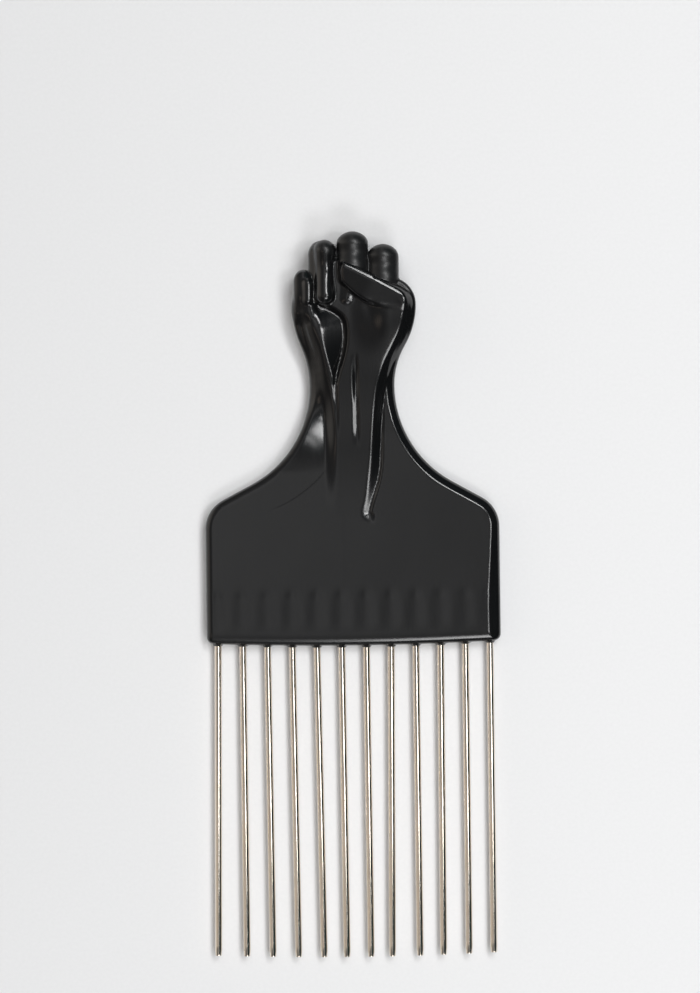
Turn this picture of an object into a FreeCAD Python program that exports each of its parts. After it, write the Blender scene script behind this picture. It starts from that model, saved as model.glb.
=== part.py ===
import FreeCAD, Part
import math
import os

import Sketcher

# An afro pick: a moulded handle that narrows from a flat bar to a wrist and a closed fist,
# and a row of straight wire teeth whose roots are moulded into the bar.
#
# The pick lies on its back. +Z is up, out of its front face, +Y runs from the teeth to the fist
# and +X is to the right. The origin is on the surface it lies on, under the middle of its box.
# Every piece is drawn from the middle of the toothed edge, then moved along Y into that frame.
# Lengths are in millimetres and angles in degrees.

SIZES = [
    ("bar_width", 68.9, "width of the flat bar"),
    ("bar_thickness", 5.0, "thickness of the flat bar"),
    ("edge_round", 1.5, "rounding all round the front and back edges"),
    ("base_bow", 0.8, "how far the toothed edge bows out in its middle"),
    ("foot_corner", 2.0, "radius of the two corners of the toothed edge"),
    ("side_height", 27.6, "toothed edge to the end of the straight sides"),
    ("shoulder_round", 7.7, "radius of the shoulder corners"),
    ("shoulder_run", 8.0, "length of the straight slope between shoulder and neck"),
    ("neck_height", 60.8, "toothed edge to the narrowest place of the wrist"),
    ("neck_left", 9.6, "half width of the wrist, left"),
    ("neck_right", 10.25, "half width of the wrist, right"),
    ("palm_height", 18.8, "wrist to the widest place of the hand"),
    ("palm_left", 13.5, "half width of the hand, left"),
    ("palm_right", 15.45, "half width of the hand, right"),
    ("palm_corner", 6.5, "radius of the hand's corners, beside the knuckles"),
    ("core_seat", 1.5, "depth of the forearm's underside, above the back"),
    ("run_out", 31.0, "toothed edge to the place where the forearm has sunk into the bar"),
    ("run_out_width", 3.2, "half width of the forearm there"),
    ("run_out_sink", 1.3, "depth of the forearm there, under the bar's face"),
    ("forearm_height", 46.0, "toothed edge to the middle of the forearm"),
    ("forearm_width", 7.9, "half width of the forearm there"),
    ("forearm_front", 2.2, "height of the forearm there, above the bar's face"),
    ("wrist_width", 8.7, "half width of the raised wrist"),
    ("wrist_front", 3.7, "height of the wrist above the bar's face"),
    ("hollow_width", 11.6, "half width of the raised palm"),
    ("hollow_front", 3.4, "height of the palm's hollow above the bar's face"),
    ("hand_shift", 0.9, "how far the hand stands to the right of the bar's middle"),
    ("knuckle_step", 0.2, "how far a knuckle stands out from the back of its finger"),
    ("fold_step", 0.3, "how far the folded part of a finger stands out above its knuckle"),
    ("little_x", -10.2, "little finger: place across the hand"),
    ("little_top", 27.3, "little finger: wrist to knuckle"),
    ("little_knuckle", 2.6, "little finger: radius of the knuckle"),
    ("little_finger", 2.2, "little finger: radius"),
    ("little_tip", 1.9, "little finger: radius of the tip"),
    ("little_reach", 8.6, "little finger: length of the folded part"),
    ("little_front", 5.2, "little finger: height above the bar's face"),
    ("ring_x", -5.8, "ring finger: place across the hand"),
    ("ring_top", 34.2, "ring finger: wrist to knuckle"),
    ("ring_knuckle", 3.9, "ring finger: radius of the knuckle"),
    ("ring_finger", 2.7, "ring finger: radius"),
    ("ring_tip", 2.3, "ring finger: radius of the tip"),
    ("ring_reach", 14.2, "ring finger: length of the folded part"),
    ("ring_front", 6.4, "ring finger: height above the bar's face"),
    ("middle_x", 0.95, "middle finger: place across the hand"),
    ("middle_top", 36.1, "middle finger: wrist to knuckle"),
    ("middle_knuckle", 3.95, "middle finger: radius of the knuckle"),
    ("middle_finger", 3.4, "middle finger: radius"),
    ("middle_tip", 1.8, "middle finger: radius of the tip"),
    ("middle_reach", 16.8, "middle finger: length of the folded part"),
    ("middle_front", 6.2, "middle finger: height above the bar's face"),
    ("index_x", 7.9, "index finger: place across the hand"),
    ("index_top", 33.0, "index finger: wrist to knuckle"),
    ("index_knuckle", 3.9, "index finger: radius of the knuckle"),
    ("index_finger", 3.4, "index finger: radius"),
    ("index_tip", 2.4, "index finger: radius of the tip"),
    ("index_reach", 13.0, "index finger: length of the folded part"),
    ("index_front", 5.6, "index finger: height above the bar's face"),
    ("thumb_x", -2.3, "thumb: place of its tip across the hand"),
    ("thumb_top", 25.6, "thumb: wrist to tip"),
    ("thumb_turn", 63.0, "thumb: turn of its tip away from straight up, to the left"),
    ("thumb_length", 17.0, "thumb: length"),
    ("thumb_tip", 2.4, "thumb: radius of the tip"),
    ("thumb_root", 3.3, "thumb: radius of the root"),
    ("thumb_front", 7.2, "thumb: height above the bar's face"),
    ("ball_foot", 1.5, "ball of the thumb: wrist to its lower end"),
    ("ball_foot_x", 1.2, "ball of the thumb: place of its lower end across the hand"),
    ("ball_foot_width", 3.4, "ball of the thumb: half width of its lower end"),
    ("ball_foot_front", 3.3, "ball of the thumb: height of its lower end above the bar's face"),
    ("ball_height", 14.0, "ball of the thumb: wrist to its middle"),
    ("ball_x", 5.6, "ball of the thumb: place across the hand"),
    ("ball_width", 6.2, "ball of the thumb: half width"),
    ("ball_front", 5.7, "ball of the thumb: height above the bar's face"),
    ("ball_top", 21.0, "ball of the thumb: wrist to its upper end"),
    ("ball_top_x", 8.0, "ball of the thumb: place of its upper end across the hand"),
    ("ball_top_width", 5.2, "ball of the thumb: half width of its upper end"),
    ("ball_top_front", 5.2, "ball of the thumb: height of its upper end above the bar's face"),
    ("heel_x", -10.4, "heel of the hand: place of its top across the hand"),
    ("heel_top", 20.6, "heel of the hand: wrist to top"),
    ("heel_turn", 17.0, "heel of the hand: turn of its top, to the left"),
    ("heel_length", 21.0, "heel of the hand: length"),
    ("heel_radius", 3.2, "heel of the hand: radius of its thick end"),
    ("heel_taper", 2.4, "heel of the hand: radius at the wrist"),
    ("heel_front", 4.8, "heel of the hand: height above the bar's face"),
    ("tooth_count", 12, "number of teeth"),
    ("tooth_margin", 2.55, "side of the bar to the middle of the outer tooth"),
    ("tooth_diameter", 1.7, "diameter of the wire"),
    ("tooth_exposed", 73.1, "length of a tooth outside the bar"),
    ("tooth_root", 12.0, "length of a tooth inside the bar"),
    ("tip_length", 1.4, "length of the taper at the tip"),
    ("tip_diameter", 1.3, "diameter of the flat end of the tip"),
    ("root_chamfer", 0.2, "chamfer on the root's end"),
    ("grip_groove_inset", 2.0, "root's end to the middle of the first ring groove"),
    ("grip_groove_pitch", 2.4, "distance between the two ring grooves"),
    ("grip_groove_width", 0.8, "width of a ring groove"),
    ("grip_groove_depth", 0.2, "depth of a ring groove"),
    ("collar_height", 0.5, "height of the plastic collar round a tooth"),
    ("collar_diameter", 2.4, "diameter of that collar at the bar"),
    ("collar_lip", 2.0, "diameter of that collar at its lip"),
    ("collar_seat", 1.0, "depth of the collar's foot inside the bar"),
]

FINGERS = ["little", "ring", "middle", "index"]

doc = FreeCAD.newDocument("afro_pick")
dims = doc.addObject("Spreadsheet::Sheet", "dims")
for row, (alias, value, meaning) in enumerate(SIZES, start=1):
    dims.set(f"A{row}", meaning)
    dims.set(f"B{row}", str(value))
    dims.setAlias(f"B{row}", alias)
doc.recompute()

# Places and sizes that follow from the driving ones, as expressions.
HANDLE_LENGTH = "(dims.neck_height + dims.middle_top)"
ROOT_Y = f"((dims.tooth_exposed - {HANDLE_LENGTH}) / 2)"
HALF_BAR = "(dims.bar_width / 2)"
BASE_RADIUS = f"(({HALF_BAR} ^ 2 + dims.base_bow ^ 2) / (2 * dims.base_bow))"
PALM_Y = "(dims.neck_height + dims.palm_height)"
PITCH = "((dims.bar_width - 2 * dims.tooth_margin) / (dims.tooth_count - 1))"
TOOTH_Z = "(dims.bar_thickness / 2)"


def number(expression):
    """The value that an expression has now, for drawing a sketch near its final shape."""
    return float(dims.evalExpression(expression))


def point(x, y):
    return FreeCAD.Vector(x, y, 0)


def bind(item, sizes):
    """Tie an object's properties to expressions."""
    for name, expression in sizes.items():
        item.setExpression(name, expression)


def new_sketch(body, name, role, offset=None, turn=None):
    """A sketch on one of the body's own origin planes, moved and turned by expressions."""
    sketch = body.newObject("Sketcher::SketchObject", name)
    plane = next(item for item in body.Origin.OriginFeatures if item.Role == role)
    sketch.AttachmentSupport = [(plane, "")]
    sketch.MapMode = "FlatFace"
    for axis, expression in zip("xyz", offset or []):
        sketch.setExpression(f"AttachmentOffset.Base.{axis}", expression)
    if turn:
        upright = FreeCAD.Rotation(FreeCAD.Vector(0, 0, 1), number(turn))
        sketch.AttachmentOffset = FreeCAD.Placement(point(0, 0), upright)
        sketch.setExpression("AttachmentOffset.Rotation.Angle", turn)
    return sketch


def size(sketch, name, expression, kind, *where):
    """A driving constraint with a name, tied to an expression."""
    index = sketch.addConstraint(Sketcher.Constraint(kind, *where, number(expression)))
    sketch.renameConstraint(index, name)
    sketch.setExpression(f"Constraints.{name}", expression)


def rule(sketch, kind, *where):
    sketch.addConstraint(Sketcher.Constraint(kind, *where))


def line(sketch, start, end):
    return sketch.addGeometry(Part.LineSegment(point(*start), point(*end)))


def arc(sketch, centre, radius, start, end):
    """An arc, anticlockwise from one angle to another, in radians."""
    circle = Part.Circle(point(*centre), FreeCAD.Vector(0, 0, 1), radius)
    return sketch.addGeometry(Part.ArcOfCircle(circle, start, end))


def polygon(sketch, corners):
    """A closed polygon with both places of every corner tied to expressions."""
    spots = [(number(x), number(y)) for x, y in corners]
    sides = [line(sketch, spot, spots[i + 1 - len(spots)]) for i, spot in enumerate(spots)]
    for i, side in enumerate(sides):
        rule(sketch, "Coincident", sides[i - 1], 2, side, 1)
        size(sketch, f"corner_{i + 1}_x", corners[i][0], "DistanceX", -1, 1, side, 1)
        size(sketch, f"corner_{i + 1}_y", corners[i][1], "DistanceY", -1, 1, side, 1)


def revolve(body, name, sketch):
    """A solid turned round its sketch's own upright axis."""
    solid = body.newObject("PartDesign::Revolution", name)
    solid.Profile = sketch
    solid.ReferenceAxis = (sketch, ["V_Axis"])
    solid.Angle = 360
    doc.recompute()
    return solid


def round_taper(body, name, x, y, z, turn, length, top, end):
    """A round form that tapers between two ball ends, from its top at (x, y) downwards."""
    sketch = new_sketch(body, f"{name}_profile", "XY_Plane", (x, y, z), turn)
    top_radius, end_radius, whole = number(top), number(end), number(length)
    rise = (end_radius - top_radius) / (whole - top_radius - end_radius)
    tilt = math.asin(rise)
    out = (math.cos(tilt), rise)
    top_middle, end_middle = -top_radius, end_radius - whole
    top_arc = arc(sketch, (0, top_middle), top_radius, tilt, math.pi / 2)
    end_arc = arc(sketch, (0, end_middle), end_radius, -math.pi / 2, tilt)
    side = line(sketch, (end_radius * out[0], end_middle + end_radius * out[1]),
                (top_radius * out[0], top_middle + top_radius * out[1]))
    axis = line(sketch, (0, 0), (0, -whole))
    rule(sketch, "Tangent", end_arc, 2, side, 1)
    rule(sketch, "Tangent", side, 2, top_arc, 1)
    rule(sketch, "Coincident", top_arc, 2, -1, 1)
    rule(sketch, "Coincident", axis, 1, -1, 1)
    rule(sketch, "Coincident", axis, 2, end_arc, 1)
    rule(sketch, "PointOnObject", axis, 2, -2)
    rule(sketch, "PointOnObject", top_arc, 3, -2)
    rule(sketch, "PointOnObject", end_arc, 3, -2)
    size(sketch, "top_radius", top, "Radius", top_arc)
    size(sketch, "end_radius", end, "Radius", end_arc)
    size(sketch, "length", length, "DistanceY", axis, 2, axis, 1)
    return revolve(body, name, sketch)


def knuckle_column(body, name, x, y, radius, top):
    """A finger seen end on: an upright column with a round top and a rounded foot on the back."""
    sketch = new_sketch(body, f"{name}_profile", "XZ_Plane", (x, "0", f"-({y})"))
    wide, high, foot = number(radius), number(top), number("dims.edge_round")
    base = line(sketch, (0, 0), (wide - foot, 0))
    foot_arc = arc(sketch, (wide - foot, foot), foot, -math.pi / 2, 0)
    side = line(sketch, (wide, foot), (wide, high - wide))
    dome = arc(sketch, (0, high - wide), wide, 0, math.pi / 2)
    axis = line(sketch, (0, high), (0, 0))
    rule(sketch, "Coincident", base, 1, -1, 1)
    rule(sketch, "Horizontal", base)
    rule(sketch, "Tangent", base, 2, foot_arc, 1)
    rule(sketch, "Tangent", foot_arc, 2, side, 1)
    rule(sketch, "Vertical", side)
    rule(sketch, "Tangent", side, 2, dome, 1)
    rule(sketch, "PointOnObject", dome, 3, -2)
    rule(sketch, "Coincident", dome, 2, axis, 1)
    rule(sketch, "Coincident", axis, 2, -1, 1)
    rule(sketch, "Vertical", axis)
    size(sketch, "foot", "dims.edge_round", "Radius", foot_arc)
    size(sketch, "radius", radius, "Radius", dome)
    size(sketch, "top", top, "DistanceY", axis, 2, axis, 1)
    return revolve(body, name, sketch)


def arched_section(body, name, x, y, half_width, front):
    """A cross-section of the raised forearm: a level underside and one arc over it."""
    seat = "dims.core_seat"
    rise = f"(dims.bar_thickness + {front} - {seat})"
    radius = f"(({half_width}) ^ 2 + {rise} ^ 2) / (2 * {rise})"
    sketch = new_sketch(body, name, "XZ_Plane", (x, seat, f"-({y})"))
    wide, high, round_over = number(half_width), number(rise), number(radius)
    lean = math.atan2(high - round_over, wide)
    base = line(sketch, (-wide, 0), (wide, 0))
    arch = arc(sketch, (0, high - round_over), round_over, -lean, math.pi + lean)
    rule(sketch, "Coincident", base, 2, arch, 1)
    rule(sketch, "Coincident", base, 1, arch, 2)
    rule(sketch, "Symmetric", base, 1, base, 2, -1, 1)
    rule(sketch, "Horizontal", base)
    size(sketch, "width", f"2 * ({half_width})", "DistanceX", base, 1, base, 2)
    size(sketch, "arch_middle", f"{rise} - {radius}", "DistanceY", -1, 1, arch, 3)
    return sketch


def outline_side(sketch, side, neck, palm):
    """Half of the handle's outline, from the foot corner up to the hand's corner.

    side is 1 on the right and -1 on the left. Returns the chain's pieces in order, each as
    (geometry, first end, last end), so that the two halves can be closed into one loop.
    """
    hand = "right" if side > 0 else "left"
    half_bar, foot = number(HALF_BAR), number("dims.foot_corner")
    shoulder, run = number("dims.shoulder_round"), number("dims.shoulder_run")
    side_top, neck_y, palm_y = number("dims.side_height"), number("dims.neck_height"), number(PALM_Y)
    neck_x, palm_x, corner = number(neck), number(palm), number("dims.palm_corner")

    def turned_arc(centre, radius, start, end):
        """An arc drawn on the right, or its mirror image on the left."""
        centre = (side * centre[0], centre[1])
        if side > 0:
            return arc(sketch, centre, radius, start, end)
        return arc(sketch, centre, radius, math.pi - end, math.pi - start)

    def turned_line(start, end):
        return line(sketch, (side * start[0], start[1]), (side * end[0], end[1]))

    # Where the pieces meet: the straight slope touches the shoulder arc and the neck arc, which
    # is level with the narrowest place. Above it two equal arcs swing out to the palm.
    across, up = half_bar - neck_x, neck_y - side_top
    both_radii = (across ** 2 + up ** 2 - run ** 2) / (2 * across)
    sweep = both_radii - shoulder
    slope = math.atan2(both_radii - across, up) + math.atan2(run, both_radii)
    out = (math.sin(slope), math.cos(slope))
    shoulder_middle = (half_bar - shoulder, side_top)
    slope_start = (shoulder_middle[0] + shoulder * out[0], shoulder_middle[1] + shoulder * out[1])
    slope_end = (neck_x + sweep - sweep * out[0], neck_y - sweep * out[1])
    flare = ((palm_x - neck_x) ** 2 + (palm_y - neck_y) ** 2) / (4 * (palm_x - neck_x))
    swing = math.asin((palm_y - neck_y) / 2 / flare)
    foot_y = number("dims.base_bow") + foot

    foot_arc = turned_arc((half_bar - foot, foot_y), foot, -math.pi / 2, 0)
    edge = turned_line((half_bar, foot_y), (half_bar, side_top))
    shoulder_arc = turned_arc(shoulder_middle, shoulder, 0, math.pi / 2 - slope)
    slope_line = turned_line(slope_start, slope_end)
    neck_arc = turned_arc((neck_x + sweep, neck_y), sweep, math.pi, 3 * math.pi / 2 - slope)
    flare_arc = turned_arc((neck_x + flare, neck_y), flare, math.pi - swing, math.pi)
    palm_arc = turned_arc((palm_x - flare, palm_y), flare, -swing, 0)
    corner_arc = turned_arc((palm_x - corner, palm_y), corner, 0, math.pi / 2)

    # An arc runs anticlockwise, so its first end along the chain depends on the side.
    ahead, back = (1, 2) if side > 0 else (2, 1)
    chain = [
        (foot_arc, ahead, back),
        (edge, 1, 2),
        (shoulder_arc, ahead, back),
        (slope_line, 1, 2),
        (neck_arc, back, ahead),
        (flare_arc, back, ahead),
        (palm_arc, ahead, back),
        (corner_arc, ahead, back),
    ]
    for (first, _, first_end), (second, second_start, _) in zip(chain, chain[1:]):
        rule(sketch, "Tangent", first, first_end, second, second_start)

    sign = "" if side > 0 else "-"
    rule(sketch, "Vertical", edge)
    rule(sketch, "Horizontal", neck_arc, 3, neck_arc, ahead)
    rule(sketch, "Horizontal", palm_arc, 3, palm_arc, back)
    rule(sketch, "Equal", flare_arc, palm_arc)
    size(sketch, f"{hand}_foot", "dims.foot_corner", "Radius", foot_arc)
    size(sketch, f"{hand}_edge", f"{sign}{HALF_BAR}", "DistanceX", -1, 1, edge, 2)
    size(sketch, f"{hand}_edge_top", "dims.side_height", "DistanceY", -1, 1, edge, 2)
    size(sketch, f"{hand}_shoulder", "dims.shoulder_round", "Radius", shoulder_arc)
    size(sketch, f"{hand}_slope", "dims.shoulder_run", "Distance", slope_line)
    size(sketch, f"{hand}_neck_x", f"{sign}{neck}", "DistanceX", -1, 1, neck_arc, ahead)
    size(sketch, f"{hand}_neck_y", "dims.neck_height", "DistanceY", -1, 1, neck_arc, ahead)
    size(sketch, f"{hand}_palm_x", f"{sign}{palm}", "DistanceX", -1, 1, palm_arc, back)
    size(sketch, f"{hand}_palm_y", PALM_Y, "DistanceY", -1, 1, palm_arc, back)
    size(sketch, f"{hand}_corner", "dims.palm_corner", "Radius", corner_arc)
    return chain


def make_slab(body):
    """The flat blank of the handle: bar, wrist and hand in one outline, with rounded edges."""
    sketch = new_sketch(body, "outline", "XY_Plane")
    radius, half_bar = number(BASE_RADIUS), number(HALF_BAR)
    foot = number("dims.foot_corner")
    reach = math.asin((half_bar - foot) / radius)
    base = arc(sketch, (0, radius), radius, -math.pi / 2 - reach, -math.pi / 2 + reach)
    right = outline_side(sketch, 1, "dims.neck_right", "dims.palm_right")
    left = outline_side(sketch, -1, "dims.neck_left", "dims.palm_left")
    top_y = number(PALM_Y) + number("dims.palm_corner")
    top = line(sketch, (number("dims.palm_right - dims.palm_corner"), top_y),
               (number("dims.palm_corner - dims.palm_left"), top_y))
    rule(sketch, "PointOnObject", base, 3, -2)
    rule(sketch, "PointOnObject", -1, 1, base)
    size(sketch, "base_radius", BASE_RADIUS, "Radius", base)
    rule(sketch, "Tangent", base, 2, right[0][0], right[0][1])
    rule(sketch, "Tangent", base, 1, left[0][0], left[0][1])
    rule(sketch, "Tangent", right[-1][0], right[-1][2], top, 1)
    rule(sketch, "Tangent", left[-1][0], left[-1][2], top, 2)
    slab = body.newObject("PartDesign::Pad", "slab")
    slab.Profile = sketch
    slab.setExpression("Length", "dims.bar_thickness")
    doc.recompute()

    flat = [f"Face{i}" for i, face in enumerate(slab.Shape.Faces, start=1)
            if abs(face.normalAt(0, 0).z) > 0.9]
    edges = body.newObject("PartDesign::Fillet", "slab_edges")
    edges.Base = (slab, flat)
    edges.setExpression("Radius", "dims.edge_round")
    doc.recompute()


def make_loft(body, name, sections):
    """A smooth solid through a row of sections."""
    doc.recompute()
    loft = body.newObject("PartDesign::AdditiveLoft", name)
    loft.Profile = sections[0]
    loft.Sections = sections[1:]
    doc.recompute()


def make_forearm(body):
    """The raised forearm: it swells out of the bar, passes the wrist and fills the palm."""
    palm_x = "dims.hand_shift"
    top_y = f"({PALM_Y} + dims.palm_corner - dims.edge_round)"
    make_loft(body, "forearm", [
        arched_section(body, "run_out_section", "0", "dims.run_out", "dims.run_out_width",
                       "(-dims.run_out_sink)"),
        arched_section(body, "forearm_section", "0", "dims.forearm_height", "dims.forearm_width",
                       "dims.forearm_front"),
        arched_section(body, "wrist_section", "0", "dims.neck_height", "dims.wrist_width",
                       "dims.wrist_front"),
        arched_section(body, "palm_section", palm_x, PALM_Y, "dims.hollow_width",
                       "dims.hollow_front"),
        arched_section(body, "knuckle_section", palm_x, top_y, "dims.hollow_width",
                       "dims.hollow_front"),
    ])


def make_ball(body):
    """The ball of the thumb: a long swelling from the wrist up to the root of the thumb."""
    heights = {"ball_foot": "ball_foot", "ball": "ball_height", "ball_top": "ball_top"}
    make_loft(body, "ball", [
        arched_section(body, f"{name}_section", f"dims.{name}_x",
                       f"(dims.neck_height + dims.{height})",
                       f"dims.{name}_width", f"dims.{name}_front")
        for name, height in heights.items()])


def make_finger(body, name):
    """One folded finger: its knuckle, its back below that, and the part folded over the palm."""
    x = f"dims.{name}_x"
    knuckle_y = f"(dims.neck_height + dims.{name}_top - dims.{name}_knuckle)"
    front = f"(dims.bar_thickness + dims.{name}_front)"
    back = f"(dims.{name}_knuckle - dims.knuckle_step)"
    round_taper(body, f"{name}_back", x, f"({knuckle_y} + {back})", f"dims.{name}_knuckle", None,
                f"dims.{name}_reach", back, back)
    knuckle_column(body, f"{name}_knuckle", x, knuckle_y, f"dims.{name}_knuckle",
                   f"({front} - dims.fold_step)")
    folded_top = f"({knuckle_y} + dims.{name}_finger)"
    folded_z = f"({front} - dims.{name}_finger)"
    round_taper(body, f"{name}_folded", x, folded_top, folded_z, None,
                f"dims.{name}_reach", f"dims.{name}_finger", f"dims.{name}_tip")


def make_turned(body, name, top, end, thickest):
    """The thumb or the heel of the hand: a round taper that lies slanting over the palm."""
    top_y = f"(dims.neck_height + dims.{name}_top)"
    axis_z = f"(dims.bar_thickness + dims.{name}_front - dims.{thickest})"
    round_taper(body, name, f"dims.{name}_x", top_y, axis_z, f"dims.{name}_turn",
                f"dims.{name}_length", f"dims.{top}", f"dims.{end}")


def make_tooth(index):
    """One wire tooth, drawn along Y from the place where it leaves the bar."""
    name = f"tooth_{index + 1:02d}"
    body = doc.addObject("PartDesign::Body", name)
    body.Label = name
    radius = "(dims.tooth_diameter / 2)"
    neck = f"({radius} - dims.grip_groove_depth)"
    root, tip = "dims.tooth_root", "(-dims.tooth_exposed)"
    half_groove = "(dims.grip_groove_width / 2)"
    corners = [("0", tip), ("dims.tip_diameter / 2", tip), (radius, f"{tip} + dims.tip_length")]
    for groove in (1, 0):
        middle = f"{root} - dims.grip_groove_inset - {groove} * dims.grip_groove_pitch"
        corners += [(radius, f"{middle} - {half_groove}"), (neck, f"{middle} - {half_groove}"),
                    (neck, f"{middle} + {half_groove}"), (radius, f"{middle} + {half_groove}")]
    corners += [(radius, f"{root} - dims.root_chamfer"), (f"{radius} - dims.root_chamfer", root),
                ("0", root)]
    sketch = new_sketch(body, f"{name}_profile", "XY_Plane")
    polygon(sketch, corners)
    revolve(body, f"{name}_wire", sketch)
    bind(body, tooth_place(index))
    return body


def tooth_place(index):
    """Where a tooth leaves the bar: on the bowed edge, at the middle of the bar's thickness."""
    across = f"(({index} - (dims.tooth_count - 1) / 2) * {PITCH})"
    return {
        "Placement.Base.x": across,
        "Placement.Base.y": f"{ROOT_Y} + {BASE_RADIUS} - sqrt({BASE_RADIUS} ^ 2 - {across} ^ 2)",
        "Placement.Base.z": TOOTH_Z,
    }


def make_collar(index):
    """The low plastic collar that rises round a tooth where it leaves the bar."""
    collar = doc.addObject("Part::Cone", f"collar_{index + 1:02d}")
    collar.Placement.Rotation = FreeCAD.Rotation(FreeCAD.Vector(1, 0, 0), 90)
    place = tooth_place(index)
    place["Placement.Base.y"] += " + dims.collar_seat"
    bind(collar, place)
    bind(collar, {
        "Radius1": "dims.collar_diameter / 2",
        "Radius2": "dims.collar_lip / 2",
        "Height": "dims.collar_seat + dims.collar_height",
    })
    return collar


moulding = doc.addObject("PartDesign::Body", "moulding")
make_slab(moulding)
make_forearm(moulding)
make_ball(moulding)
make_turned(moulding, "heel", "heel_radius", "heel_taper", "heel_radius")
for finger in FINGERS:
    make_finger(moulding, finger)
make_turned(moulding, "thumb", "thumb_tip", "thumb_root", "thumb_root")
bind(moulding, {"Placement.Base.y": ROOT_Y})

tooth_numbers = range(int(number("dims.tooth_count")))
teeth = [make_tooth(index) for index in tooth_numbers]
collars = [make_collar(index) for index in tooth_numbers]

# The plastic is moulded round the roots, so every socket is the tooth's own shape.
blank = doc.addObject("Part::MultiFuse", "blank")
blank.Shapes = [moulding] + collars
roots = doc.addObject("Part::Compound", "roots")
roots.Links = teeth
handle = doc.addObject("Part::Cut", "handle")
handle.Label = "handle"
handle.Base = blank
handle.Tool = roots
doc.recompute()

sub_parts = [handle] + teeth
for item in doc.Objects:
    if {"Invalid", "Error"} & set(item.State):
        raise RuntimeError(f"{item.Label} failed: {item.State}")
for item in sub_parts:
    if item.Shape.isNull() or not item.Shape.isValid() or len(item.Shape.Solids) != 1:
        raise RuntimeError(f"{item.Label} is not one sound solid")
if not handle.Shape.Volume < blank.Shape.Volume:
    raise RuntimeError("the sockets were not cut")

os.makedirs("parts", exist_ok=True)
for item in sub_parts:
    item.Shape.exportStep(f"parts/{item.Label}.step")
    box = item.Shape.BoundBox
    print(f"{item.Label}: {box.XLength:.2f} x {box.YLength:.2f} x {box.ZLength:.2f} mm, "
          f"{item.Shape.Volume:.1f} mm3")
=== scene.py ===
# %% [markdown]
# # An afro pick: a fist handle with wire teeth
# The real pick is one black plastic moulding, a flat bar that narrows to a wrist and a closed fist,
# with twelve nickel-plated wires moulded into the bar's edge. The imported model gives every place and
# size. This lesson sculpts the handle as a distance field, turns the wires, and lights both.

# %% Load the frame
import math

import bpy
import numpy as np
import openvdb
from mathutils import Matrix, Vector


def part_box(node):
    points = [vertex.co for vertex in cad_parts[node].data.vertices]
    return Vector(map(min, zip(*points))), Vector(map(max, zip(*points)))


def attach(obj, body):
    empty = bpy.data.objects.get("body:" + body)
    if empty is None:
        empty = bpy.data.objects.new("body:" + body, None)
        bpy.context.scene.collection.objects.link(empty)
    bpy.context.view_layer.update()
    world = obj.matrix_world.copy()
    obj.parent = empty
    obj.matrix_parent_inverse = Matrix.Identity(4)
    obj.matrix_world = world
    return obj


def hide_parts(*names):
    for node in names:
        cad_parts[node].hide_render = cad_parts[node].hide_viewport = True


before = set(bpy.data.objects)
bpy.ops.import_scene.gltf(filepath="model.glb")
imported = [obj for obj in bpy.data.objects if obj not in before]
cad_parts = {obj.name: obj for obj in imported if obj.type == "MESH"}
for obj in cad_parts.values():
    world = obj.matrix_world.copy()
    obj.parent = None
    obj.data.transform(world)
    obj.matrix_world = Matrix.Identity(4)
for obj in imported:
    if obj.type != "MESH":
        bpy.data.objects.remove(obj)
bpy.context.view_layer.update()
MM = 0.001

# %% [markdown]
# ## Places that everything else hangs on
# The handle is drawn in millimetres from the middle of its toothed edge: X to the right, Y up to the
# fist, Z out of the front face. The frame says where that point is, because the knuckle of the middle
# finger is the highest place of the handle, a known length above the toothed edge.

# %% Measure the frame
HANDLE_LENGTH = 96.9
FACE = 5.0  # the bar's front face, above its back

_, handle_high = (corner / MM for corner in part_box("handle"))
ROOT_Y = handle_high.y - HANDLE_LENGTH
HALF_BAR = handle_high.x
tooth_names = sorted(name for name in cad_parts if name.startswith("tooth_"))


def to_frame(points):
    """Handle millimetres to frame metres, for one point or an array of points."""
    return (np.asarray(points, float) + (0, ROOT_Y, 0)) * MM


print(f"root line at y = {ROOT_Y:.2f} mm, half bar {HALF_BAR:.2f} mm, {len(tooth_names)} teeth")

# %% [markdown]
# ## Camera
# The photograph looks straight down on the pick, which lies turned by less than a degree. A long lens
# from a metre away keeps the teeth parallel, as they are in the picture.

# %% Make the camera
VIEW_HEIGHT = 232.4
VIEW_MIDDLE = (-0.49, 34.92, FACE)
VIEW_TURN = math.radians(-0.74)
CAMERA_RISE = 1000.0
SENSOR = 36.0

camera_data = bpy.data.cameras.new("camera")
camera_data.sensor_width = SENSOR
camera_data.lens = SENSOR * CAMERA_RISE / VIEW_HEIGHT
camera = bpy.data.objects.new("camera", camera_data)
camera.location = to_frame(np.add(VIEW_MIDDLE, (0, 0, CAMERA_RISE)))
camera.rotation_euler = (0, 0, VIEW_TURN)
bpy.context.scene.collection.objects.link(camera)
bpy.context.scene.camera = camera
print(f"lens {camera_data.lens:.1f} mm at {CAMERA_RISE:.0f} mm")

# %% [markdown]
# ## The sculpting grid
# A moulded hand has soft swellings that run into each other, sharp creases where they meet and no
# seams. Polygons joined by hand would crack there, and metaballs can't hold a crease. A distance field
# can do both: every point of a grid stores how far it is from the surface, forms are joined by a soft
# minimum, and the surface is drawn at zero. The grid is finer in the fist and along the edges.

# %% Make the grid
FINE, MEDIUM, COARSE = 0.28, 0.4, 0.6


def grid_line(stretches):
    """Places along one axis, with their own spacing in each (start, end, spacing) stretch."""
    places = [np.arange(start, end, spacing) for start, end, spacing in stretches]
    return np.concatenate(places).astype(np.float32)


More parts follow.
